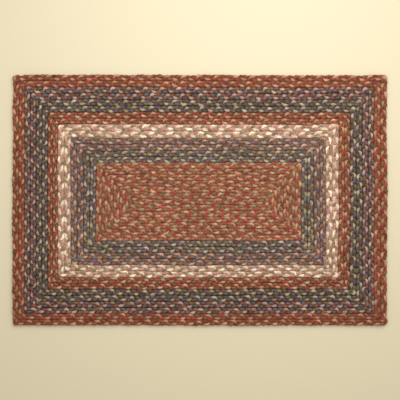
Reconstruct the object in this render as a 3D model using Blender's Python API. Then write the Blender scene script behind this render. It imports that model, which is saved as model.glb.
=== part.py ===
"""Braided jute rug, about 30 by 20 inches, lying flat.

A three-strand braid lies in rectangular turns round one straight centre row, each turn sewn to
the last.  The braid is made in eight colourways, and each colourway is one solid here: the field
fills the middle and the other seven are flat frames, one round the other.  On every solid the
rows of braid stand up as ribs, above and below, with the seams between them as grooves.

Metres, +Z up.  The origin is under the middle of the rug, at floor level; +X runs along its length.
"""

import math
from typing import NamedTuple

import bmesh
import bpy

MM = 0.001

# Driving dimensions
THICKNESS = 8.0 * MM              # from the floor to the crest of a row
SEAM_DEPTH = 2.6 * MM             # groove between two rows, seen from above
UNDER_DEPTH = 1.8 * MM            # the same groove on the underside, pressed flatter
CENTRE_ROW_LENGTH = 259.3 * MM    # between the two points where the braid turns back
FIELD_PITCH = 12.23 * MM          # from row to row in the field
NODE_GAP = 0.3 * MM               # between neighbouring colourways
TURN_RADIUS = 5.0 * MM            # corner of an ordinary turn
OUTER_RADIUS = 9.0 * MM           # corner of the outermost turn
TINY_TURN = 0.6                   # the corner's share of the half height on the centre row

# Stations along one turn of braid
LONG_SIDE_STEPS = 6
SHORT_SIDE_STEPS = 4
CORNER_STEPS = 2


class Band(NamedTuple):
    """One colourway: its rows, its width on each side of the rug in mm, and its mean colour."""

    name: str
    rows: int
    top: float
    right: float
    bottom: float
    left: float
    srgb: tuple


class EdgeWave(NamedTuple):
    """How one side of the outline bows: reach in mm, waves along the side, phase in turns."""

    reach: float
    waves: float
    phase: float


FIELD_ROWS = 6                    # turns round the centre row, which is the field's own too
FIELD_COLOUR = (152, 102, 76)

#         name             rows  top   right bottom left  mean colour
BANDS = (
    Band("braid_sage",     2,    24.9, 25.4, 24.8,  25.5, (120, 104, 88)),
    Band("braid_slate",    2,    24.9, 24.4, 24.8,  25.5, (134, 107, 93)),
    Band("braid_cream",    2,    27.9, 26.2, 25.2,  26.6, (192, 157, 130)),
    Band("braid_brick",    2,    24.4, 23.6, 24.0,  20.3, (149, 101, 77)),
    Band("braid_moss",     2,    25.9, 25.0, 24.8,  23.6, (118, 103, 88)),
    Band("braid_heather",  2,    25.9, 23.8, 24.8,  23.6, (128, 100, 89)),
    Band("braid_border",   2,    24.6, 26.4, 23.8,  24.0, (150, 96, 72)),
)

EDGE_WAVES = {
    "top":    EdgeWave(reach=0.8, waves=1.0, phase=0.50),
    "right":  EdgeWave(reach=1.0, waves=1.6, phase=0.25),
    "bottom": EdgeWave(reach=0.4, waves=1.5, phase=0.25),
    "left":   EdgeWave(reach=0.5, waves=0.5, phase=0.50),
}

# Cross-section of one row: place across the row (-0.5 to 0.5), height above the floor
ROW_TOP = (
    (-0.50, THICKNESS - SEAM_DEPTH),
    (-0.32, THICKNESS - 0.30 * SEAM_DEPTH),
    (-0.12, THICKNESS),
    (0.12, THICKNESS),
    (0.32, THICKNESS - 0.30 * SEAM_DEPTH),
    (0.50, THICKNESS - SEAM_DEPTH),
)
ROW_UNDER = (
    (0.50, UNDER_DEPTH),
    (0.28, 0.0),
    (-0.28, 0.0),
    (-0.50, UNDER_DEPTH),
)
# The outermost row's free edge, from its crest round to the floor
RIM = (
    (0.34, THICKNESS - 0.32 * SEAM_DEPTH),
    (0.46, THICKNESS - SEAM_DEPTH),
    (0.50, 0.50 * THICKNESS),
    (0.43, 0.15 * THICKNESS),
    (0.28, 0.0),
)

TOTAL_ROWS = FIELD_ROWS + sum(band.rows for band in BANDS)
OUTLINE_ROW = TOTAL_ROWS + 0.5


def side_reach(side, row):
    """Distance from the centre row to a turn's place on one side; row 0.5 is its first seam."""
    field_edge = FIELD_ROWS + 0.5
    reach = min(row, field_edge) * FIELD_PITCH
    start = field_edge
    for band in BANDS:
        share = min(max((row - start) / band.rows, 0.0), 1.0)
        reach += share * getattr(band, side) * MM
        start += band.rows
    if side in ("left", "right"):
        reach += CENTRE_ROW_LENGTH / 2
    return reach


def row_pitch(row):
    """Mean distance from row to row at a place, over the four sides."""
    sides = ("top", "right", "bottom", "left")
    step = 0.25
    return sum(side_reach(s, row + step) - side_reach(s, row - step) for s in sides) / (8 * step)


def corner_radius(row):
    """Corner of a turn: tight at the centre row, wider on the outermost turn."""
    inner = min(TURN_RADIUS, TINY_TURN * side_reach("top", row))
    outermost = max(row - (TOTAL_ROWS - 0.5), 0.0)
    return inner + outermost * (OUTER_RADIUS - TURN_RADIUS)


def bow(side, along):
    """Outward bow of one side at a place along it, -0.5 to 0.5: a sine wave."""
    wave = EDGE_WAVES[side]
    return wave.reach * MM * math.sin(2 * math.pi * (wave.waves * along + wave.phase))


def bowed(x, y, row):
    """Moves a point of a turn by the bows of its sides, which fade towards the centre row."""
    left, right = -side_reach("left", row), side_reach("right", row)
    bottom, top = -side_reach("bottom", row), side_reach("top", row)
    across = 2 * (x - left) / (right - left) - 1
    up = 2 * (y - bottom) / (top - bottom) - 1
    fade = (row / OUTLINE_ROW) ** 2
    x_bow = bow("right", up / 2) * max(across, 0.0) ** 2 - bow("left", up / 2) * max(-across, 0.0) ** 2
    y_bow = bow("top", across / 2) * max(up, 0.0) ** 2 - bow("bottom", across / 2) * max(-up, 0.0) ** 2
    return x + fade * x_bow, y + fade * y_bow


def turn_points(row):
    """One turn of the braid seen from above: a rounded rectangle, clockwise from the top right."""
    radius = corner_radius(row)
    left, right = -side_reach("left", row), side_reach("right", row)
    bottom, top = -side_reach("bottom", row), side_reach("top", row)
    corners = (
        (right - radius, top - radius, 90, SHORT_SIDE_STEPS),
        (right - radius, bottom + radius, 0, LONG_SIDE_STEPS),
        (left + radius, bottom + radius, -90, SHORT_SIDE_STEPS),
        (left + radius, top - radius, -180, LONG_SIDE_STEPS),
    )
    arcs = []
    for centre_x, centre_y, start, _steps in corners:
        angles = [math.radians(start - 90 * i / CORNER_STEPS) for i in range(CORNER_STEPS + 1)]
        arcs.append([(centre_x + radius * math.cos(a), centre_y + radius * math.sin(a)) for a in angles])
    points = []
    for index, (arc, corner) in enumerate(zip(arcs, corners)):
        points += arc
        (x0, y0), (x1, y1) = arc[-1], arcs[(index + 1) % 4][0]
        steps = corner[3]
        points += [(x0 + (x1 - x0) * i / steps, y0 + (y1 - y0) * i / steps) for i in range(1, steps)]
    return [bowed(x, y, row) for x, y in points]


def box_centre():
    """Middle of the rug's outline, which is moved to the origin."""
    outline = turn_points(OUTLINE_ROW)
    xs, ys = zip(*outline)
    return (min(xs) + max(xs)) / 2, (min(ys) + max(ys)) / 2


def cross_section(first_row, last_row, has_inner_wall, is_outermost):
    """Outline of a band cut across its rows, as (row place, height), clockwise from the top inside."""
    gap_in = NODE_GAP / 2 / row_pitch(first_row - 0.5)
    gap_out = NODE_GAP / 2 / row_pitch(last_row + 0.5)
    over, under = [], []
    for row in range(first_row, last_row + 1):
        over += [(row + place, z) for place, z in ROW_TOP[:-1]]
        under += [(row - place, z) for place, z in ROW_UNDER[:-1]]
    if is_outermost:
        over = over[:-1] + [(last_row + place, z) for place, z in RIM]
        under = under[:-1]
    else:
        over.append((last_row + 0.5 - gap_out, ROW_TOP[-1][1]))
        under.append((last_row + 0.5 - gap_out, ROW_UNDER[0][1]))
    if has_inner_wall:
        over[0] = (first_row - 0.5 + gap_in, ROW_TOP[0][1])
        under[0] = (first_row - 0.5 + gap_in, ROW_UNDER[-1][1])
    else:
        over = [point for point in over if point[0] > 0]
        under = [point for point in under if point[0] > 0]
    return over + under[::-1]


def skin_band(section, closed, centre):
    """Carries a cross-section round the rug; a closed one joins up inside, an open one is capped."""
    mesh = bmesh.new()
    turns = []
    for row, z in section:
        turns.append([mesh.verts.new((x - centre[0], y - centre[1], z)) for x, y in turn_points(row)])
    strips = list(zip(turns, turns[1:]))
    if closed:
        strips.append((turns[-1], turns[0]))
    else:
        mesh.faces.new(turns[0])
        mesh.faces.new(turns[-1])
    for turn, following in strips:
        for i in range(len(turn)):
            mesh.faces.new((turn[i - 1], turn[i], following[i], following[i - 1]))
    bmesh.ops.recalc_face_normals(mesh, faces=mesh.faces)
    return mesh


def linear(channel):
    """One sRGB channel, 0 to 255, as the linear value that a shader takes."""
    value = channel / 255
    return value / 12.92 if value <= 0.04045 else ((value + 0.055) / 1.055) ** 2.4


def jute(name, srgb):
    """Matt dyed jute yarn of one mean colour."""
    material = bpy.data.materials.new(name)
    material.use_nodes = True
    shader = material.node_tree.nodes["Principled BSDF"]
    shader.inputs["Base Color"].default_value = (*[linear(channel) for channel in srgb], 1.0)
    shader.inputs["Roughness"].default_value = 0.92
    shader.inputs["Metallic"].default_value = 0.0
    return material


def add_band(name, section, closed, srgb, centre):
    """Makes one colourway's object from its cross-section."""
    shape = skin_band(section, closed, centre)
    mesh = bpy.data.meshes.new(name)
    shape.to_mesh(mesh)
    shape.free()
    mesh.shade_smooth()
    mesh.set_sharp_from_angle(angle=math.radians(60))
    mesh.materials.append(jute(name, srgb))
    band = bpy.data.objects.new(name, mesh)
    bpy.context.scene.collection.objects.link(band)


def build_rug():
    """The field round its centre row, then each frame of braid outside the last."""
    centre = box_centre()
    field_section = cross_section(0, FIELD_ROWS, has_inner_wall=False, is_outermost=False)
    add_band("braid_field", field_section, False, FIELD_COLOUR, centre)
    first = FIELD_ROWS + 1
    for band in BANDS:
        last = first + band.rows - 1
        section = cross_section(first, last, has_inner_wall=True, is_outermost=last == TOTAL_ROWS)
        add_band(band.name, section, True, band.srgb, centre)
        first = last + 1


for old in list(bpy.data.objects):
    bpy.data.objects.remove(old, do_unlink=True)
build_rug()
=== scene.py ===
import logging
import math
from dataclasses import dataclass, field
from enum import Enum
from typing import Any, Callable, NamedTuple, Sequence

import bpy
import numpy as np
from numpy.typing import NDArray
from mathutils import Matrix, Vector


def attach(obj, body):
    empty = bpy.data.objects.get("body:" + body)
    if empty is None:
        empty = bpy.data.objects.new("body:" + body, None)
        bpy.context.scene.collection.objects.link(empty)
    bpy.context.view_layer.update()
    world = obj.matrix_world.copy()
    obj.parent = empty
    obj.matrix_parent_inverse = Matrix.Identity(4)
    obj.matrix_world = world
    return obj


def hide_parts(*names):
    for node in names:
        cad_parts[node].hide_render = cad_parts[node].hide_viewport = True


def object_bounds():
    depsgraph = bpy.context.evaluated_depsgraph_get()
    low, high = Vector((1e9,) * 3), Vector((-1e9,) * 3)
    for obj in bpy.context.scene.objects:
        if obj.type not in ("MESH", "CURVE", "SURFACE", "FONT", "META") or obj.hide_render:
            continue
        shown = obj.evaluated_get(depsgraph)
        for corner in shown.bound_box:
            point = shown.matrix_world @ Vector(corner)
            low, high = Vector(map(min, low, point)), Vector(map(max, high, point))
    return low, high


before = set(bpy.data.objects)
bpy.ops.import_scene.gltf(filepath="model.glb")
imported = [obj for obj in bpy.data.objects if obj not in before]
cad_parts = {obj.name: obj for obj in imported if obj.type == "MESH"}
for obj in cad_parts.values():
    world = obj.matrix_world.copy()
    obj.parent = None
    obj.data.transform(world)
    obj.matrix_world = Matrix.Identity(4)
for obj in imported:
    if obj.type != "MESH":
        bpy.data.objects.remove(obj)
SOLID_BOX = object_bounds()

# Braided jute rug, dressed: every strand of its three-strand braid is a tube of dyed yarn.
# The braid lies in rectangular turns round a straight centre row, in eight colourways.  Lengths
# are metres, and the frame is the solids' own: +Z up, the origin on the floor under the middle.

Floats = NDArray[np.float64]
Numbers = NDArray[np.int64]
Colour = tuple[int, int, int]
ShaderColour = tuple[float, float, float, float]
MM = 0.001
# FALLS tints the painted shade: the darker, the warmer.
FALLS = (1.0, 1.3, 1.6)         # how steeply red, green and blue fall off in the shade of dyed fibre
log = logging.getLogger("rug")


class Side(Enum):
    """The four sides of the rug, as seen from above."""

    TOP = "top"
    RIGHT = "right"
    BOTTOM = "bottom"
    LEFT = "left"


class Lay(Enum):
    """How a length of braid lies: closed on itself round the rug, or straight with two ends."""

    TURN = "turn"
    STRAIGHT = "straight"


class EdgeWave(NamedTuple):
    """How one side of the outline bows: reach in mm, waves along the side, phase in turns."""

    reach: float
    waves: float
    phase: float


class Tone(NamedTuple):
    """The yarns of one strand: their main colour, a second colour and the second one's share."""

    main: Colour
    second: Colour
    share: float


@dataclass(frozen=True)
class Colourway:
    """One length of braid of the same three strands, wound side by side.

    The widths are what its rows take up on each side of the rug, in mm.  The seam light is how light the
    painted shade in its seams and the braid's depths stays beside that of the other colourways.  The
    spread is how far its strands swing out, beside the usual: a wide one closes the seams.
    """

    node: str
    rows: int
    widths: dict[Side, float]
    tones: tuple[Tone, Tone, Tone]
    seam_light: float = 1.0
    spread: float = 1.0


def widths(top: float, right: float, bottom: float, left: float) -> dict[Side, float]:
    """The same measure on the four sides, in mm."""
    return {Side.TOP: top, Side.RIGHT: right, Side.BOTTOM: bottom, Side.LEFT: left}


FIELD_PITCH = 12.23

COLOURWAYS = (
    Colourway("braid_field", 6, widths(*[6.5 * FIELD_PITCH] * 4), (
        Tone((160, 70, 55), (155, 65, 50), 0.35),
        Tone((185, 155, 120), (180, 140, 110), 0.35),
        Tone((150, 110, 75), (150, 105, 70), 0.45),
    ), seam_light=1.7, spread=1.07),
    Colourway("braid_sage", 2, widths(24.9, 25.4, 24.8, 25.5), (
        Tone((105, 110, 90), (95, 95, 110), 0.35),
        Tone((170, 165, 130), (170, 150, 150), 0.35),
        Tone((120, 85, 100), (130, 105, 60), 0.45),
    ), seam_light=0.8),
    Colourway("braid_slate", 2, widths(24.9, 24.4, 24.8, 25.5), (
        Tone((110, 95, 105), (110, 105, 100), 0.40),
        Tone((185, 150, 140), (180, 150, 120), 0.30),
        Tone((140, 100, 75), (130, 100, 75), 0.40),
    ), seam_light=1.2),
    Colourway("braid_cream", 2, widths(27.9, 26.2, 25.2, 26.6), (
        Tone((240, 220, 200), (230, 210, 185), 0.30),
        Tone((190, 140, 120), (185, 140, 115), 0.35),
        Tone((165, 140, 115), (165, 140, 110), 0.40),
    ), seam_light=2.3),
    Colourway("braid_brick", 2, widths(24.4, 23.6, 24.0, 20.3), (
        Tone((160, 70, 50), (155, 65, 45), 0.35),
        Tone((195, 150, 120), (185, 145, 110), 0.35),
        Tone((135, 95, 65), (130, 95, 60), 0.40),
    ), spread=1.03),
    Colourway("braid_moss", 2, widths(25.9, 25.0, 24.8, 23.6), (
        Tone((100, 80, 95), (90, 80, 90), 0.40),
        Tone((175, 160, 135), (170, 155, 135), 0.35),
        Tone((105, 100, 65), (100, 95, 65), 0.40),
    ), seam_light=0.55),
    Colourway("braid_heather", 2, widths(25.9, 23.8, 24.8, 23.6), (
        Tone((180, 150, 140), (175, 150, 125), 0.30),
        Tone((100, 95, 95), (100, 95, 100), 0.40),
        Tone((145, 85, 75), (120, 90, 60), 0.40),
    ), seam_light=0.55),
    Colourway("braid_border", 2, widths(24.6, 26.4, 23.8, 24.0), (
        Tone((145, 60, 45), (145, 60, 40), 0.35),
        Tone((190, 145, 115), (175, 135, 100), 0.35),
        Tone((140, 85, 45), (130, 85, 45), 0.40),
    ), seam_light=1.25, spread=1.05),
)


@dataclass(frozen=True)
class RugPlan:
    """Where every row of braid lies, seen from above; lengths in metres, rows counted outwards."""

    centre_row_length: float = 259.3 * MM
    thickness: float = 8.0 * MM
    turn_radius: float = 5.0 * MM
    meander_reach: float = 0.75 * MM
    meander_lengths: tuple[float, float] = (70.0 * MM, 220.0 * MM)
    meander_waves: int = 8
    meander_seed: int = 8
    bow_places: int = 201
    colourways: tuple[Colourway, ...] = COLOURWAYS
    waves: dict[Side, EdgeWave] = field(default_factory=lambda: {
        Side.TOP: EdgeWave(0.8, 1.0, 0.50),
        Side.RIGHT: EdgeWave(1.0, 1.6, 0.25),
        Side.BOTTOM: EdgeWave(0.4, 1.5, 0.25),
        Side.LEFT: EdgeWave(0.5, 0.5, 0.50),
    })

    @property
    def total_rows(self) -> int:
        """Turns of braid round the centre row."""
        return sum(way.rows for way in self.colourways)

    @property
    def outline_row(self) -> float:
        """The outline's place, counted in rows from the centre row."""
        return self.total_rows + 0.5

    def reach(self, side: Side, row: Floats | float) -> Floats:
        """Distance from the middle of the centre row to a row's place on one side.

        Piecewise linear: each colourway's width is shared evenly by its rows.

        Args:
            side: The side of the rug.
            row: The place or places in rows; a whole number is a row's middle.

        Returns:
            The distance or distances.
        """
        edges, reaches = [0.0], [0.0]
        for index, way in enumerate(self.colourways):
            edges.append(edges[-1] + way.rows + (0.5 if index == 0 else 0.0))
            reaches.append(reaches[-1] + way.widths[side] * MM)
        reach = np.interp(row, edges, reaches)
        if side in (Side.LEFT, Side.RIGHT):
            reach = reach + self.centre_row_length / 2
        return reach

    def pitch(self, side: Side, row: float) -> float:
        """Width of a row on one side: the distance between the seams on either side of it."""
        inner, outer = self.reach(side, max(row - 0.5, 0.0)), self.reach(side, row + 0.5)
        return float(outer - inner) / min(row + 0.5, 1.0)

    def bow(self, side: Side, along: Floats) -> Floats:
        """Outward bow of one side, a sine wave of the place along it, from -0.5 to 0.5."""
        wave = self.waves[side]
        return wave.reach * MM * np.sin(2 * np.pi * (wave.waves * along + wave.phase))

    def settle(self, x: Floats, y: Floats, row: Floats) -> tuple[Floats, Floats]:
        """Bows points with their sides and moves the rug's middle to the origin.

        The bow of each side weighs in with the square of how far out a point lies towards that
        side, and fades with the square of the row's place towards the centre row.

        Args:
            x: Places along the rug, from the middle of the centre row.
            y: Places across the rug, from the centre row.
            row: The row place of each point.

        Returns:
            The settled places along and across the rug.
        """
        left, right = -self.reach(Side.LEFT, row), self.reach(Side.RIGHT, row)
        bottom, top = -self.reach(Side.BOTTOM, row), self.reach(Side.TOP, row)
        across = 2 * (x - left) / (right - left) - 1
        up = 2 * (y - bottom) / np.maximum(top - bottom, MM) - 1
        fade = (row / self.outline_row) ** 2
        x_bow = self.bow(Side.RIGHT, up / 2) * np.maximum(across, 0) ** 2
        x_bow = x_bow - self.bow(Side.LEFT, up / 2) * np.maximum(-across, 0) ** 2
        y_bow = self.bow(Side.TOP, across / 2) * np.maximum(up, 0) ** 2
        y_bow = y_bow - self.bow(Side.BOTTOM, across / 2) * np.maximum(-up, 0) ** 2
        middle_x, middle_y = self.middle()
        x_stray, y_stray = self.meander(x, y, 1 - fade ** 2)
        return x + fade * x_bow + x_stray - middle_x, y + fade * y_bow + y_stray - middle_y

    def meander(self, x: Floats, y: Floats, share: Floats) -> tuple[Floats, Floats]:
        """How far neighbouring rows stray together, being laced by hand.

        Each stray is a sum of plane sine waves over the rug, of chance length, heading and phase.

        Args:
            x: Places along the rug.
            y: Places across the rug.
            share: How much of the stray is left at each point, 0 at the outline.

        Returns:
            The strays along and across the rug.
        """
        chance = np.random.default_rng(self.meander_seed)
        heading, phase_x, phase_y = chance.uniform(0, 2 * np.pi, (3, self.meander_waves))
        turns = 2 * np.pi / chance.uniform(*self.meander_lengths, self.meander_waves)
        angle = x[..., None] * turns * np.cos(heading) + y[..., None] * turns * np.sin(heading)
        scale = self.meander_reach * math.sqrt(2 / self.meander_waves) * share
        return scale * np.sin(angle + phase_x).sum(-1), scale * np.sin(angle + phase_y).sum(-1)

    def middle(self) -> tuple[float, float]:
        """Middle of the solids' box, seen from the middle of the centre row.

        Returns:
            The place along and across the rug.
        """
        low, high = SOLID_BOX
        places = np.linspace(-0.5, 0.5, self.bow_places)
        bows = {side: self.bow(side, places).max() for side in Side}
        span = {side: float(self.reach(side, self.outline_row)) + bows[side] for side in Side}
        along = (span[Side.RIGHT] - span[Side.LEFT]) / 2 - (high.x + low.x) / 2
        across = (span[Side.TOP] - span[Side.BOTTOM]) / 2 - (high.y + low.y) / 2
        return along, across

    def first_row(self, colourway: Colourway) -> int:
        """A colourway's first turn, counted from the centre row."""
        before = self.colourways[: self.colourways.index(colourway)]
        return 1 + sum(way.rows for way in before)


class Track(NamedTuple):
    """Stations along one length of braid: a pivot, the outward direction, and the row's width."""

    place: Floats
    pivot: Floats
    outward: Floats
    pitch: Floats
    corner: Floats
    length: float


class Tubes(NamedTuple):
    """Points of one length of braid, by strand, station and side, and its stations' places."""

    points: Floats
    place: Floats
    length: float
    lay: Lay
    row: int


@dataclass(frozen=True)
class Braid:
    """A flat three-strand braid: its strands' paths and their round, slightly flat section.

    With t running once round for every period of braid, strand i lies sideways at a multiple of
    tanh(k sin(t + 120 i)) and upwards at a multiple of sin 2(t + 120 i), so that each strand goes
    over one of the other two and under the next, and lies along the braid's edge in between.
    """

    plan: RugPlan
    period: float = 34.2 * MM
    usual_pitch: float = 12.4 * MM
    side_sway: float = 3.15 * MM
    squareness: float = 3.4
    rise: float = 1.6 * MM
    lift: float = 0.4
    half_width: float = 2.75 * MM
    half_height: float = 2.25 * MM
    fullness: float = 0.5
    corner_fill: float = 0.55
    corner_tuck: float = 0.15
    corner_bulge: float = 1.0 * MM
    corner_widening: float = 0.25
    end_length: float = 7.0 * MM
    end_drop: float = 2.4 * MM
    side_step: float = 1.9 * MM
    corner_step: float = 1.3 * MM
    section_sides: int = 8
    floor_clearance: float = 0.05 * MM
    slow_shift: float = 0.4
    own_shift: float = 0.15
    sway_change: float = 0.25
    row_wander: float = 0.42 * MM
    height_change: float = 0.35 * MM
    strands: int = 3
    drift_waves: int = 5
    centre_overrun: float = 0.55    # in rows, past the centre row's turning points
    edge_fill: float = 0.4          # share of the corner fill that is left at the rug's edge
    least_reach: float = 0.5 * MM
    end_size: float = 0.3
    plain_share: float = 0.6        # swell of a strand's wave at which its section is the plain one

    def turn_track(self, row: int) -> Track:
        """Stations round one turn: a rounded rectangle, clockwise from the top left.

        Each side runs between two corner pivots, and each corner swings a quarter round its
        pivot; all of it is linear between the eight knots where a side meets a corner.

        Args:
            row: The turn, counted from the centre row.

        Returns:
            The track, closed on itself.
        """
        plan, radius = self.plan, self.plan.turn_radius
        top, right, bottom, left = (float(plan.reach(side, float(row))) for side in Side)
        high, low, far, near = top - radius, radius - bottom, right - radius, radius - left
        pivots = np.array([
            (near, high), (far, high), (far, high), (far, low), (far, low),
            (near, low), (near, low), (near, high), (near, high),
        ])
        angles = np.radians([90.0, 90.0, 0.0, 0.0, -90.0, -90.0, -180.0, -180.0, -270.0])
        pitches = np.array([plan.pitch(side, row) for side in Side])[[0, 0, 1, 1, 2, 2, 3, 3, 0]]
        corner_length = math.pi / 2 * (radius + self.side_sway)
        steps = np.linalg.norm(np.diff(pivots, axis=0), axis=1)
        knots = np.concatenate([[0.0], np.cumsum(np.where(steps > 0, steps, corner_length))])
        counts = np.ceil(np.where(steps > 0, steps / self.side_step, corner_length / self.corner_step))
        runs = [np.linspace(start, end, int(count), endpoint=False)
                for start, end, count in zip(knots, knots[1:], counts)]
        return self.track(np.concatenate(runs), knots, pivots, angles, pitches)

    def centre_track(self) -> Track:
        """Stations along the straight centre row, past its turning points to the first turn.

        Returns:
            The track, with two ends.
        """
        plan = self.plan
        half = plan.centre_row_length / 2 + self.centre_overrun * FIELD_PITCH * MM
        pivots = np.array([(-half, -plan.turn_radius), (half, -plan.turn_radius)])
        knots = np.array([0.0, 2 * half])
        angles, pitches = np.full(2, math.pi / 2), np.full(2, FIELD_PITCH * MM)
        place = np.linspace(0, 2 * half, round(2 * half / self.side_step) + 1)
        return self.track(place, knots, pivots, angles, pitches)

    @staticmethod
    def track(place: Floats, knots: Floats, pivots: Floats, angles: Floats, pitches: Floats) -> Track:
        """Reads a track's stations off its knots, linearly.

        Args:
            place: Distance of each station along the track.
            knots: Distance of each knot, the last one at the track's end.
            pivots: Pivot at each knot.
            angles: Outward direction at each knot, in radians.
            pitches: Row width at each knot.

        Returns:
            The track.
        """
        angle = np.interp(place, knots, angles)
        pivot = np.stack([np.interp(place, knots, pivots[:, axis]) for axis in (0, 1)], axis=-1)
        outward = np.stack([np.cos(angle), np.sin(angle)], axis=-1)
        pitch, corner = np.interp(place, knots, pitches), np.sin(2 * angle) ** 2
        return Track(place, pivot, outward, pitch, corner, float(knots[-1]))

    def drift(self, chance: np.random.Generator, turn: Floats, waves: tuple[int, int],
              lines: int) -> Floats:
        """Slow unevenness: a sum of a few sine waves of chance phase, which closes on itself.

        Args:
            chance: Source of the waves' numbers.
            turn: Angle of each station round the whole track, in radians.
            waves: Fewest and most waves round the track.
            lines: How many separate lines to make.

        Returns:
            The unevenness, about -1 to 1, by line and station.
        """
        counts = chance.integers(waves[0], waves[1] + 1, (lines, self.drift_waves, 1))
        phases = chance.uniform(0, 2 * np.pi, (lines, self.drift_waves, 1))
        return np.sin(counts * turn + phases).sum(axis=1) / (self.drift_waves / 2)

    def strand_lines(self, track: Track, row: int, lay: Lay,
                     chance: np.random.Generator) -> tuple[Floats, Floats]:
        """Middle lines of the three strands along a track, by the braid's formula.

        Args:
            track: The stations.
            row: The turn, for the rug's bows.
            lay: Whether the braid closes on itself.
            chance: Source of its unevenness.

        Returns:
            The points, by strand and station, and each strand's phase there in radians.
        """
        crossings = max(round(track.length / self.period), 1)
        turn = 2 * np.pi * track.place / track.length
        third = 2 * np.pi / self.strands * np.arange(self.strands)[:, None]
        slow = self.drift(chance, turn, (2, max(crossings // 3, 3)), 1)
        own = self.drift(chance, turn, (crossings // 2 + 1, crossings * 2 + 2), self.strands)
        start = chance.uniform(0, 2 * np.pi)
        sway_drift = self.drift(chance, turn, (3, crossings + 3), self.strands)
        wander = self.row_wander * self.drift(chance, turn, (2, max(crossings // 2, 3)), 1)
        height = self.height_change * self.drift(chance, turn, (3, crossings + 3), self.strands)

        phase = crossings * turn + third + start + self.slow_shift * slow + self.own_shift * own
        swing = np.tanh(self.squareness * np.sin(phase)) / math.tanh(self.squareness)
        sway = self.side_sway * (1 + self.sway_change * sway_drift)
        sideways = sway * swing * track.pitch / self.usual_pitch + wander
        room = min((self.plan.total_rows - row) / 2, 1.0)
        fill = self.corner_fill * (self.edge_fill + (1 - self.edge_fill) * room)
        stretch = np.where(sideways > 0, fill, -self.corner_tuck)
        sideways = sideways * (1 + stretch * track.corner) + self.corner_bulge * room * track.corner
        arch = (np.sin(2 * phase) + self.lift) / (1 + self.lift)
        upward = self.plan.thickness / 2 + self.rise * arch + height
        upward = upward - self.end_drop * (1 - self.firmness(track, lay))
        reach = np.maximum(self.plan.turn_radius + sideways, self.least_reach)
        flat = track.pivot + track.outward * reach[..., None]
        x, y = self.plan.settle(flat[..., 0], flat[..., 1], row + sideways / track.pitch)
        return np.stack([x, y, upward], axis=-1), phase

    def firmness(self, track: Track, lay: Lay) -> Floats:
        """1 along the braid, falling to 0 at its two ends where it has them, on a smooth S curve.

        Args:
            track: The stations.
            lay: Whether the braid has ends.

        Returns:
            The firmness at each station.
        """
        if lay is Lay.TURN:
            return np.ones_like(track.place)
        end = np.minimum(track.place, track.length - track.place) / self.end_length
        return 0.5 - 0.5 * np.cos(np.pi * np.clip(end, 0, 1))

    def tubes(self, track: Track, row: int, lay: Lay, chance: np.random.Generator) -> Tubes:
        """The three strands of one length of braid, as tubes.

        A tube's point is its middle line plus cos A times the half width, sideways, plus sin A
        times the half height, at right angles to the line and to sideways.  A strand is fuller
        where it lies on top or below, and tapers at an end.

        Args:
            track: The stations.
            row: The turn, for the rug's bows.
            lay: Whether the braid closes on itself.
            chance: Source of its unevenness.

        Returns:
            The tubes' points, by strand, station and side, with what their faces and maps need.
        """
        line, phase = self.strand_lines(track, row, lay, chance)
        if lay is Lay.TURN:
            ahead = np.roll(line, -1, axis=1) - np.roll(line, 1, axis=1)
        else:
            ahead = np.gradient(line, axis=1)
        ahead = ahead / np.linalg.norm(ahead, axis=-1, keepdims=True)
        side = np.cross(np.array([0.0, 0.0, 1.0]), ahead)
        side = side / np.linalg.norm(side, axis=-1, keepdims=True)
        above = np.cross(ahead, side)
        full = 1 + self.fullness * (np.abs(np.sin(2 * phase)) - self.plain_share)
        full = full * (self.end_size + (1 - self.end_size) * self.firmness(track, lay))
        spread = 1 + self.corner_widening * track.corner * np.sin(phase)
        half_width = self.half_width * full * spread * track.pitch / self.usual_pitch
        half_height = self.half_height * full ** 0.5
        angle = -np.pi / 2 + 2 * np.pi * np.arange(self.section_sides) / self.section_sides
        sideways = np.cos(angle) * half_width[..., None]
        upwards = np.sin(angle) * half_height[..., None]
        points = line[:, :, None] + side[:, :, None] * sideways[..., None]
        points = points + above[:, :, None] * upwards[..., None]
        points[..., 2] = np.maximum(points[..., 2], self.floor_clearance)
        return Tubes(points, track.place, track.length, lay, row)


class SurfaceParts(NamedTuple):
    """Arrays for one mesh: its points and four-sided faces, each face corner's places on the two
    maps, and each point's strand, row and seed."""

    points: Floats
    faces: Numbers
    yarn_map: Floats
    strip_map: Floats
    lay: Floats


def ring_faces(rings: int, around: int, closed: bool) -> tuple[Numbers, Numbers, Numbers]:
    """Faces from one ring of points to the next, the points being numbered ring by ring.

    Args:
        rings: How many rings there are.
        around: How many points each has.
        closed: Whether the last ring joins up with the first.

    Returns:
        The faces' four points, and each face's ring and place round it.
    """
    spans = rings if closed else rings - 1
    ring, place = np.meshgrid(np.arange(spans), np.arange(around), indexing="ij")
    here, after, beside = ring * around, (ring + 1) % rings * around, (place + 1) % around
    corners = [here + place, here + beside, after + beside, after + place]
    return np.stack(corners, axis=-1).reshape(-1, 4), ring.ravel(), place.ravel()


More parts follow.
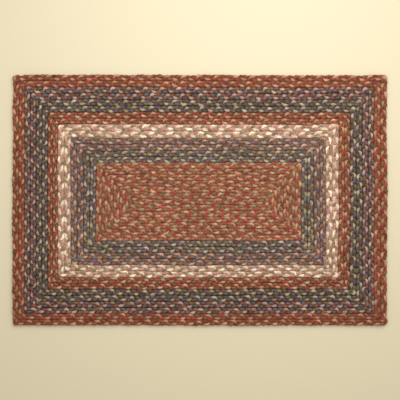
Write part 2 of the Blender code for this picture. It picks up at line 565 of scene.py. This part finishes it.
@dataclass
class StrandMesher:
    """Joins many tubes into one mesh, with the maps that its yarn and its baking need."""

    strip_width: float = 15.5 * MM
    strip_margin: float = 0.04
    strip_slack: float = 1.001
    cap_square: float = 0.001
    strand_seed: int = 7
    row_seed: int = 3

    def join(self, lengths: Sequence[Tubes]) -> SurfaceParts:
        """One mesh from many lengths of braid.

        On the yarn map, u is the distance along the strand in metres and v goes once round it.
        On the strip map all strands are laid end to end and cut into strips that fill a square.

        Args:
            lengths: The lengths of braid.

        Returns:
            The mesh's arrays.
        """
        total = sum(tubes.length * len(tubes.points) for tubes in lengths)
        strips = math.ceil(math.sqrt(total / self.strip_width))
        strip_length = total / strips * self.strip_slack
        parts, first, laid = [], 0, 0.0
        for tubes in lengths:
            parts.append(self.surface(tubes, first, laid, strips, strip_length))
            first += len(parts[-1].points)
            laid += tubes.length * len(tubes.points)
        return SurfaceParts(*(np.concatenate(arrays) for arrays in zip(*parts)))

    def surface(self, tubes: Tubes, first: int, laid: float, strips: int,
                strip_length: float) -> SurfaceParts:
        """What one length of braid adds to the mesh; a straight one has three faces on each end.

        Args:
            tubes: Its tubes.
            first: Number of their first point in the whole mesh.
            laid: Length of all the strands that come before them on the strip map.
            strips: How many strips that map has.
            strip_length: Length of each strip.

        Returns:
            The arrays.
        """
        strands, stations, sides = tubes.points.shape[:3]
        quads, station, side = ring_faces(stations, sides, tubes.lay is Lay.TURN)
        begins = first + np.arange(strands)[:, None, None] * stations * sides
        faces = (begins + quads).reshape(-1, 4)
        strand = np.repeat(np.arange(strands), len(quads))
        station, side = np.tile(station, strands), np.tile(side, strands)

        edges = np.append(tubes.place, tubes.length)
        start, end = edges[station], edges[station + 1]
        begun = laid + strand * tubes.length + start
        strip = np.floor(begun / strip_length)
        offset = (begun - start - strip * strip_length)[:, None]
        longest = strip_length + 2 * np.diff(edges).max()
        along = np.stack([start, start, end, end], axis=-1)
        around = np.stack([side, side + 1, side + 1, side], axis=-1) / sides
        inner = self.strip_margin + (1 - 2 * self.strip_margin) * around
        yarn_map = np.stack([along, around], axis=-1)
        strip_map = np.stack([(along + offset) / longest, (strip[:, None] + inner) / strips], axis=-1)
        if tubes.lay is Lay.STRAIGHT:
            start_cap = np.array([(3, 2, 1, 0), (7, 4, 3, 0), (7, 6, 5, 4)])
            end_cap = start_cap[:, ::-1] + (stations - 1) * sides
            caps = (begins + np.concatenate([start_cap, end_cap])).reshape(-1, 4)
            square = self.cap_square * np.array([(0, 0), (0, 1), (1, 1), (1, 0)])
            square = np.broadcast_to(square, (len(caps), 4, 2))
            faces = np.concatenate([faces, caps])
            yarn_map, strip_map = (np.concatenate([places, square]) for places in (yarn_map, strip_map))

        number = np.repeat(np.arange(strands), stations * sides)
        seed = number * self.strand_seed + tubes.row * self.row_seed
        lay = np.stack([number, np.full_like(number, tubes.row), seed], axis=-1)
        return SurfaceParts(tubes.points.reshape(-1, 3), faces, yarn_map, strip_map, lay.astype(float))


def mesh_object(name: str, parts: SurfaceParts) -> bpy.types.Object:
    """Puts a mesh's arrays into a new object at the origin, shaded smooth.

    Args:
        name: The piece's name.
        parts: The arrays.

    Returns:
        The object.
    """
    mesh = bpy.data.meshes.new(name)
    mesh.vertices.add(len(parts.points))
    mesh.vertices.foreach_set("co", parts.points.astype(np.float32).ravel())
    mesh.loops.add(parts.faces.size)
    mesh.loops.foreach_set("vertex_index", parts.faces.astype(np.int32).ravel())
    mesh.polygons.add(len(parts.faces))
    mesh.polygons.foreach_set("loop_start", np.arange(0, parts.faces.size, 4, dtype=np.int32))
    mesh.update(calc_edges=True)
    for map_name, places in (("yarn", parts.yarn_map), ("OFBake", parts.strip_map)):
        layer = mesh.uv_layers.new(name=map_name)
        layer.data.foreach_set("uv", places.astype(np.float32).ravel())
    lay = mesh.attributes.new("lay", "FLOAT_VECTOR", "POINT")
    lay.data.foreach_set("vector", parts.lay.astype(np.float32).ravel())
    mesh.shade_smooth()
    piece = bpy.data.objects.new(name, mesh)
    bpy.context.scene.collection.objects.link(piece)
    return piece


def maths(operation: str, reflected: bool = False) -> Callable[..., "Value"]:
    """Makes a method of Value that adds one Math node.

    Args:
        operation: The node's operation.
        reflected: Whether the value itself comes last, as in 1 - value.

    Returns:
        The method.
    """
    def method(self: "Value", *others: Any) -> "Value":
        """Adds the node on this value and the others, which are Values or numbers."""
        terms = (*others, self) if reflected else (self, *others)
        node = self.desk.add("ShaderNodeMath", {"operation": operation}, dict(enumerate(terms)))
        return Value(self.desk, node.outputs[0])

    return method


class Value:
    """A shader socket; arithmetic on it adds the Math nodes that work it out."""

    def __init__(self, desk: "NodeDesk", socket: bpy.types.NodeSocket) -> None:
        """Wraps one output socket of the desk's material."""
        self.desk = desk
        self.socket = socket

    __add__ = __radd__ = maths("ADD")
    __sub__ = maths("SUBTRACT")
    __rsub__ = maths("SUBTRACT", reflected=True)
    __mul__ = __rmul__ = maths("MULTIPLY")
    __truediv__ = maths("DIVIDE")
    __pow__ = maths("POWER")
    __lt__ = maths("LESS_THAN")
    __gt__ = maths("GREATER_THAN")
    __abs__ = maths("ABSOLUTE")
    sin = maths("SINE")
    cos = maths("COSINE")
    floor = maths("FLOOR")
    at_least = maths("MAXIMUM")

    def widened(self, width: float) -> "Value":
        """A chance of 0 to 1, less a half, times a width."""
        return (self - 0.5) * width

    def clipped(self) -> "Value":
        """The value kept within 0 and 1."""
        node = self.desk.add("ShaderNodeClamp", {}, {"Value": self})
        return Value(self.desk, node.outputs[0])


class NodeDesk:
    """One material's node tree, with one method that makes any node."""

    def __init__(self, name: str) -> None:
        """Starts a material with its usual shader and output."""
        self.material = bpy.data.materials.new(name)
        self.material.use_nodes = True
        self.tree = self.material.node_tree
        self.shader = self.tree.nodes["Principled BSDF"]

    def add(self, kind: str, settings: dict[str, Any], inputs: dict[Any, Any]) -> bpy.types.Node:
        """Adds a node.

        Args:
            kind: The node's type.
            settings: Its settings, set before anything is linked.
            inputs: Its sockets by name or number, each a Value, a socket or a plain value.

        Returns:
            The node.
        """
        node = self.tree.nodes.new(kind)
        for key, setting in settings.items():
            setattr(node, key, setting)
        for key, given in inputs.items():
            self.feed(node.inputs[key], given)
        return node

    def feed(self, socket: bpy.types.NodeSocket, given: Any) -> None:
        """Links or sets one input socket.

        Args:
            socket: The input.
            given: A Value, an output socket or a plain value.
        """
        source = given.socket if isinstance(given, Value) else given
        if isinstance(source, bpy.types.NodeSocket):
            self.tree.links.new(source, socket)
        else:
            socket.default_value = source

    def parts(self, vector: bpy.types.NodeSocket) -> list[Value]:
        """The three parts of a vector."""
        node = self.add("ShaderNodeSeparateXYZ", {}, {0: vector})
        return [Value(self, part) for part in node.outputs]

    def object_place(self) -> bpy.types.NodeSocket:
        """The point in Object coordinates."""
        return self.add("ShaderNodeTexCoord", {}, {}).outputs["Object"]

    def lay(self) -> list[Value]:
        """The point's strand, row and seed, as its mesh keeps them."""
        node = self.add("ShaderNodeAttribute", {"attribute_name": "lay"}, {})
        return self.parts(node.outputs["Vector"])

    def vector(self, *parts: Any) -> bpy.types.NodeSocket:
        """A vector or colour of three parts, each a Value or a number."""
        return self.add("ShaderNodeCombineXYZ", {}, dict(enumerate(parts))).outputs[0]

    def shade(self, light: Value) -> bpy.types.NodeSocket:
        """A painted shade to multiply a dye by: with less light, blue and green fall off the most."""
        return self.vector(*(light ** fall for fall in FALLS))

    def mix(self, factor: Any, first: Any, second: Any, blend: str = "MIX") -> bpy.types.NodeSocket:
        """Mixes two colours.

        Args:
            factor: Share of the second, a Value or a number.
            first: The first colour.
            second: The second colour.
            blend: How they mix.

        Returns:
            The mixed colour's socket.
        """
        node = self.add("ShaderNodeMix", {"data_type": "RGBA", "blend_type": blend}, {})
        for number, given in ((0, factor), (6, first), (7, second)):
            self.feed(node.inputs[number], given)
        return node.outputs[2]

    def times(self, first: Any, second: Any) -> bpy.types.NodeSocket:
        """One colour times another."""
        return self.mix(1.0, first, second, "MULTIPLY")


def dyed(colour: Colour) -> ShaderColour:
    """A colour of 0 to 255 a channel as the linear, opaque colour that a shader takes."""
    parts = (channel / 255 for channel in colour)
    return (*(part / 12.92 if part <= 0.04045 else ((part + 0.055) / 1.055) ** 2.4 for part in parts), 1.0)


def painted_depth_shade(way: Colourway, share: float) -> ShaderColour:
    """Painted shade between a colourway's strands: their main dyes' mean, in a share of the light."""
    mean = np.mean([dyed(tone.main)[:3] for tone in way.tones], axis=0)
    return (*((share * way.seam_light) ** np.array(FALLS) * mean), 1.0)


class Grain(NamedTuple):
    """A noise on a strand: how fast it changes along it, for each metre, and round it, and its detail."""

    along: float
    around: float
    detail: float


@dataclass(frozen=True)
class JuteFinish:
    """Dyed jute: each strand a bundle of slightly twisted yarns, matt, with a soft fibre grain.

    Light and shade are painted into its colour: full on the strands' crests, above and below, falling off
    towards the rug's mid height, where painted shade between the strands takes the mean of their dyes.
    """

    yarns: int = 8
    twist: float = -4.0
    ply_pitch: float = 2.6 * MM
    patch: Grain = Grain(34.0, 0.15, 1.0)
    lobe: Grain = Grain(75.0, 0.05, 0.0)
    blotch: Grain = Grain(120.0, 0.6, 2.0)
    fibre: Grain = Grain(900.0, 6.0, 3.0)
    grain_roughness: float = 0.6
    seed_step: float = 3.7

    patch_part: float = 0.6
    yarn_part: float = 0.4
    second_contrast: float = 5.0
    second_gain: float = 2.0
    hue_spread: float = 0.22

    yarn_spread: float = 0.45
    lobe_spread: float = 0.8
    blotch_spread: float = 1.3
    fibre_spread: float = 1.1
    # Painted light and shade of the yarns: along the ply's twist, and in the grooves between yarns.
    ply_spread: float = 0.05
    groove_shade: float = 0.5
    darkest: float = 0.05

    # Painted light and shade by height: full on the crests, darkest at the rug's mid height.
    middle_height: float = 4.0 * MM
    deep_reach: float = 0.2 * MM
    crest_reach: float = 3.2 * MM
    deep_shade: float = 0.40
    crest_shade: float = 0.87
    deep_blend: float = 0.9
    deep_power: float = 1.3
    deep_share: float = 0.5

    ply_height: float = 0.18
    fibre_height: float = 0.5
    groove_depth: float = 0.35 * MM
    bump: float = 0.9
    roughness: float = 0.88
    roughness_spread: float = 0.2
    sheen: float = 0.12
    specular: float = 0.25

    def material(self, way: Colourway) -> bpy.types.Material:
        """The colourway's material, on its strands' own yarn map.

        Args:
            way: The colourway.

        Returns:
            The material.
        """
        desk = NodeDesk(way.node.replace("braid", "jute"))
        along, around, _ = desk.parts(desk.add("ShaderNodeUVMap", {"uv_map": "yarn"}, {}).outputs[0])
        strand, row, seed = desk.lay()
        turned = (around + along * self.twist) * self.yarns
        yarn = turned.floor()
        key = desk.vector(yarn - (yarn / self.yarns).floor() * self.yarns, strand, row)
        lot = desk.add("ShaderNodeTexWhiteNoise", {"noise_dimensions": "3D"}, {"Vector": key})
        chance = Value(desk, lot.outputs["Value"])
        angle = turned * (2 * math.pi / self.yarns)

        def noise(grain: Grain) -> bpy.types.Node:
            """Noise that runs along the strand and closes round it."""
            spot = desk.vector(angle.cos() * grain.around, angle.sin() * grain.around,
                               along * grain.along + seed * self.seed_step)
            scales = {"Scale": 1.0, "Detail": grain.detail, "Roughness": self.grain_roughness}
            return desk.add("ShaderNodeTexNoise", {"noise_dimensions": "3D"}, {"Vector": spot, **scales})

        patch, lobe, fibre = (Value(desk, noise(grain).outputs[0])
                              for grain in (self.patch, self.lobe, self.fibre))
        blotches = noise(self.blotch)
        colour = self.dye(desk, way, strand, patch * self.patch_part + chance * self.yarn_part)
        tint = desk.mix(0.5, lot.outputs["Color"], blotches.outputs["Color"])
        tinted = desk.times(colour, desk.mix(1.0, tint, tint, "ADD"))
        colour = desk.mix(self.hue_spread, colour, tinted)

        ridge = abs((turned * math.pi).sin()) ** 0.5
        ply = ((along * (1 / self.ply_pitch) + turned) * (2 * math.pi)).sin()
        level = 1.0 + chance.widened(self.yarn_spread)
        level = level + Value(desk, blotches.outputs[0]).widened(self.blotch_spread)
        level = level + fibre.widened(self.fibre_spread) + lobe.widened(self.lobe_spread)
        # Painted shade in the grooves between yarns, and painted light and shade along the ply's twist.
        groove = self.groove_shade + (1 - self.groove_shade) * ridge
        level = ((level + ply * self.ply_spread) * groove).at_least(self.darkest)
        desk.feed(desk.shader.inputs["Base Color"], self.shaded(desk, way, colour, level))

        desk.feed(desk.shader.inputs["Roughness"], self.roughness + fibre.widened(self.roughness_spread))
        height = ridge + ply * self.ply_height + fibre * self.fibre_height
        bump = {"Strength": self.bump, "Distance": self.groove_depth, "Height": height}
        desk.feed(desk.shader.inputs["Normal"], desk.add("ShaderNodeBump", {}, bump).outputs[0])
        desk.shader.inputs["Sheen Weight"].default_value = self.sheen
        desk.shader.inputs["Specular IOR Level"].default_value = self.specular
        return desk.material

    def dye(self, desk: NodeDesk, way: Colourway, strand: Value, lot: Value) -> bpy.types.NodeSocket:
        """The strand's own dye: its main one, or the second in the share of places that it takes.

        Args:
            desk: The material's desk.
            way: The colourway.
            strand: The point's strand, 0 to 2.
            lot: A chance of 0 to 1, where the second dye takes the high ones.

        Returns:
            The colour's socket.
        """
        is_second, is_third = (strand > 0.5) * (strand < 1.5), strand > 1.5

        def of_strand(dyes: list[Colour]) -> bpy.types.NodeSocket:
            """The dye of the point's own strand."""
            first, second, third = (dyed(dye) for dye in dyes)
            return desk.mix(is_third, desk.mix(is_second, first, second), third)

        main = of_strand([tone.main for tone in way.tones])
        other = of_strand([tone.second for tone in way.tones])
        first, second, third = (tone.share for tone in way.tones)
        share = first + is_second * (second - first) + is_third * (third - first)
        changed = (lot.widened(self.second_contrast) + share * self.second_gain - 0.5).clipped()
        return desk.mix(changed, main, other)

    def shaded(self, desk: NodeDesk, way: Colourway, colour: bpy.types.NodeSocket,
               level: Value) -> bpy.types.NodeSocket:
        """The dye with painted light and shade: full on the crests, little at mid height.

        Args:
            desk: The material's desk.
            way: The colourway.
            colour: The dye.
            level: Its light and dark grain, with the painted shade of the yarns' grooves, about 1.

        Returns:
            The colour's socket.
        """
        # Painted light and shade by height above the floor.
        reach = abs(desk.parts(desk.object_place())[2] - self.middle_height)
        crest = ((reach - self.deep_reach) / (self.crest_reach - self.deep_reach)).clipped()
        deep_shade = self.deep_shade * way.seam_light
        light = level * (deep_shade + (self.crest_shade - deep_shade) * crest)
        # Painted shade between the strands, in the mean of their dyes.
        deep = desk.times(painted_depth_shade(way, self.deep_share), desk.shade(level))
        depth = (1 - crest) ** self.deep_power * self.deep_blend
        return desk.mix(depth, desk.times(colour, desk.shade(light)), deep)


@dataclass(frozen=True)
class InnerYarnFinish:
    """The yarn deep in the braid, coloured in painted shade: each colourway's own dyes, darker, matt and
    fibrous.
    """

    # Share of the light in its painted shade.
    depth: float = 0.25
    grain_scale: float = 700.0
    grain_detail: float = 3.0
    contrast: float = 0.7
    darkest: float = 0.05
    roughness: float = 0.95

    def material(self, plan: RugPlan) -> bpy.types.Material:
        """The material, on object coordinates and each point's place among the rows.

        Args:
            plan: The rug's plan, for its colourways.

        Returns:
            The material.
        """
        desk = NodeDesk("inner_yarn")
        row = desk.lay()[1]
        colour = painted_depth_shade(plan.colourways[0], self.depth)
        for way in plan.colourways[1:]:
            colour = desk.mix(row > plan.first_row(way) - 0.5, colour, painted_depth_shade(way, self.depth))
        noise = desk.add("ShaderNodeTexNoise", {}, {
            "Vector": desk.object_place(), "Scale": self.grain_scale, "Detail": self.grain_detail,
        })
        level = (1.0 + Value(desk, noise.outputs[0]).widened(self.contrast)).at_least(self.darkest)
        desk.feed(desk.shader.inputs["Base Color"], desk.times(colour, desk.shade(level)))
        desk.shader.inputs["Roughness"].default_value = self.roughness
        return desk.material


@dataclass
class BraidedRug:
    """The whole rug: a piece of braid for each colourway, over the yarn that fills it inside."""

    plan: RugPlan
    seed: int = 1130

    def dress(self) -> list[bpy.types.Object]:
        """Builds every colourway and the inner yarn.

        Returns:
            The pieces.
        """
        braids = [self.braid_piece(way) for way in self.plan.colourways]
        inner = InnerYarn(self.plan).build()
        return [*braids, inner]

    def braid_piece(self, way: Colourway) -> bpy.types.Object:
        """One colourway's braid, in place of its solid.

        Args:
            way: The colourway.

        Returns:
            The piece.
        """
        braid = Braid(self.plan, side_sway=way.spread * Braid.side_sway)
        chance = np.random.default_rng(self.seed + self.plan.colourways.index(way))
        lengths = []
        if way is self.plan.colourways[0]:
            lengths.append(braid.tubes(braid.centre_track(), 0, Lay.STRAIGHT, chance))
        first = self.plan.first_row(way)
        for row in range(first, first + way.rows):
            lengths.append(braid.tubes(braid.turn_track(row), row, Lay.TURN, chance))
        piece = mesh_object(way.node + "_strands", StrandMesher().join(lengths))
        piece.data.materials.append(JuteFinish().material(way))
        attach(piece, "root")
        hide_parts(way.node)
        return piece


@dataclass
class InnerYarn:
    """The yarn inside the braid, which closes the gaps between strands: a thin ribbed sheet."""

    plan: RugPlan
    middle_rise: float = 0.9 * MM
    seam_drop: float = 0.2 * MM
    half_thickness: float = 0.6 * MM
    places_a_row: int = 4
    innermost: float = 0.1
    edge_inset: float = 0.12
    side_stations: int = 12
    corner_stations: int = 4

    def build(self) -> bpy.types.Object:
        """The sheet: over the top from the centre row outwards, and back underneath.

        Its top stands at the rug's mid height plus a cosine of the place across each row.  On the
        strip map it is cut open, with its two caps one above the other beyond the last loop.

        Returns:
            The piece.
        """
        places = round(self.plan.outline_row * self.places_a_row)
        rows = np.linspace(self.innermost, self.plan.outline_row - self.edge_inset, places)
        rib = (self.middle_rise + self.seam_drop) / 2 * np.cos(2 * np.pi * rows)
        rib = rib + (self.middle_rise - self.seam_drop) / 2
        over = self.plan.thickness / 2 + rib
        under = over - 2 * self.half_thickness
        section = np.concatenate([np.stack([rows, over], -1), np.stack([rows, under], -1)[::-1]])
        loops = np.stack([self.loop(row, height) for row, height in section])
        count, around = loops.shape[:2]
        skin, ring, station = ring_faces(count, around, closed=False)
        cap = self.cap(around)
        faces = np.concatenate([skin, cap[:, ::-1], cap + (count - 1) * around])
        points = loops.reshape(-1, 3)
        corner_map = points[faces][..., :2]
        at = np.stack([station, ring], axis=-1)[:, None] + np.array([(0, 0), (1, 0), (1, 1), (0, 1)])
        ends = corner_map[len(skin):]
        share = (ends - ends.min(axis=(0, 1))) / np.ptp(ends, axis=(0, 1))
        lift = np.repeat([0.0, 0.5], len(cap))[:, None, None] * (0, 1)
        at = np.concatenate([at, share * (around, 0.5) + (0, count - 1) + lift])
        lay = np.zeros_like(points)
        lay[:, 1] = np.repeat(section[:, 0], around)
        parts = SurfaceParts(points, faces, corner_map, at / (around, count), lay)
        piece = mesh_object("inner_yarn", parts)
        piece.data.materials.append(InnerYarnFinish().material(self.plan))
        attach(piece, "root")
        return piece

    def loop(self, row: float, height: float) -> Floats:
        """One loop of the sheet: a rounded rectangle at a place among the rows.

        Args:
            row: The place.
            height: Its height above the floor.

        Returns:
            Its points, clockwise from the top of the right-hand end.
        """
        top, right, bottom, left = (float(self.plan.reach(side, row)) for side in Side)
        radius = min(self.plan.turn_radius, 0.5 * top)
        far, near, high, low = right - radius, radius - left, top - radius, radius - bottom
        pivots = np.array([(far, high), (far, low), (near, low), (near, high)])[:, None]
        quarter = np.linspace(0, 90, self.corner_stations)
        angles = np.radians(90 - 90 * np.arange(4)[:, None]) - np.radians(quarter)
        arcs = pivots + radius * np.stack([np.cos(angles), np.sin(angles)], axis=-1)
        share = np.linspace(0, 1, self.side_stations + 2)[1:-1, None]
        start, end = arcs[:, -1:], np.roll(arcs[:, :1], -1, axis=0)
        flat = np.concatenate([arcs, start + (end - start) * share], axis=1).reshape(-1, 2)
        x, y = self.plan.settle(flat[:, 0], flat[:, 1], np.full(len(flat), row))
        return np.stack([x, y, np.full(len(flat), height)], axis=-1)

    def cap(self, around: int) -> Numbers:
        """Faces that close the innermost loop: straight across it, and a fan over each rounded end.

        Args:
            around: How many points the loop has.

        Returns:
            The faces' four points.
        """
        end = 2 * self.corner_stations + self.side_stations
        step = np.arange(0, end - 2, 2)
        fan = np.stack([np.zeros_like(step), step + 1, step + 2, step + 3], axis=-1)
        across = np.arange(self.side_stations + 1)
        top, bottom = around - across, end - 1 + across
        middle = np.stack([top % around, bottom, bottom + 1, top - 1], axis=-1)
        return np.concatenate([fan, fan + around // 2, middle])


@dataclass
class Studio:
    """A plain pale floor, soft light and a camera straight above the rug.

    The frame spans 400 pixels, of which the rug's outline takes 374.6.
    """

    frame_span: float = 400 / 374.6 * 761.4 * MM
    frame_pixels: int = 400
    offset: tuple[float, float] = (0.0, 0.05)
    lens: float = 85.0
    sensor: float = 36.0
    floor_size: float = 8.0
    floor_drop: float = 0.2 * MM
    floor_colour: Colour = (205, 193, 162)
    floor_roughness: float = 0.7
    lamp_place: tuple[float, float, float] = (0.15, 0.5, 0.9)
    lamp_size: float = 1.2
    lamp_power: float = 12.7
    daylight: float = 0.66
    daylight_colour: ShaderColour = (1.0, 0.98, 0.95, 1.0)

    def set_up(self, plan: RugPlan) -> None:
        """Makes the floor, the lights and the camera.

        Args:
            plan: The rug's plan, for its height.
        """
        bpy.context.scene.view_settings.view_transform = "Standard"
        self.floor()
        self.lights()
        self.camera(plan.thickness)

    def floor(self) -> None:
        """A wide pale floor just under the rug."""
        bpy.ops.mesh.primitive_plane_add(size=self.floor_size, location=(0, 0, -self.floor_drop))
        floor = bpy.context.object
        floor.name = "floor"
        desk = NodeDesk("pale_floor")
        desk.shader.inputs["Base Color"].default_value = dyed(self.floor_colour)
        desk.shader.inputs["Roughness"].default_value = self.floor_roughness
        floor.data.materials.append(desk.material)

    def lights(self) -> None:
        """Soft daylight from all round, and a wide soft lamp above, towards the far right."""
        world = bpy.data.worlds.new("soft_daylight")
        world.use_nodes = True
        backdrop = world.node_tree.nodes["Background"]
        backdrop.inputs["Color"].default_value = self.daylight_colour
        backdrop.inputs["Strength"].default_value = self.daylight
        bpy.context.scene.world = world
        lamp = bpy.data.lights.new("soft_lamp", "AREA")
        lamp.shape, lamp.size, lamp.energy = "DISK", self.lamp_size, self.lamp_power
        holder = bpy.data.objects.new("soft_lamp", lamp)
        holder.location = self.lamp_place
        x, y, z = self.lamp_place
        holder.rotation_euler = (math.acos(z / math.hypot(x, y, z)), 0, math.atan2(x, -y))
        bpy.context.scene.collection.objects.link(holder)

    def camera(self, height: float) -> None:
        """A long lens looking straight down, so that its frame spans what the photo's does.

        Args:
            height: Height of the rug's upper face.
        """
        data = bpy.data.cameras.new("camera")
        data.lens, data.sensor_width = self.lens, self.sensor
        camera = bpy.data.objects.new("camera", data)
        distance = self.frame_span * self.lens / self.sensor
        pixel = self.frame_span / self.frame_pixels
        camera.location = (self.offset[0] * pixel, self.offset[1] * pixel, height + distance)
        bpy.context.scene.collection.objects.link(camera)
        bpy.context.scene.camera = camera


def report(piece: bpy.types.Object) -> None:
    """Logs a piece's triangles and the body it rides on.

    Args:
        piece: The piece.
    """
    faces = piece.data.polygons
    sizes = np.empty(len(faces), dtype=np.int32)
    faces.foreach_get("loop_total", sizes)
    log.info("%s: %d triangles, rides on root", piece.name, int((sizes - 2).sum()))


def main() -> None:
    """Builds the studio and the rug."""
    logging.basicConfig(level=logging.INFO, format="%(message)s")
    plan = RugPlan()
    Studio().set_up(plan)
    for piece in BraidedRug(plan).dress():
        report(piece)
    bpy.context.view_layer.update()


if __name__ == "__main__":
    main()
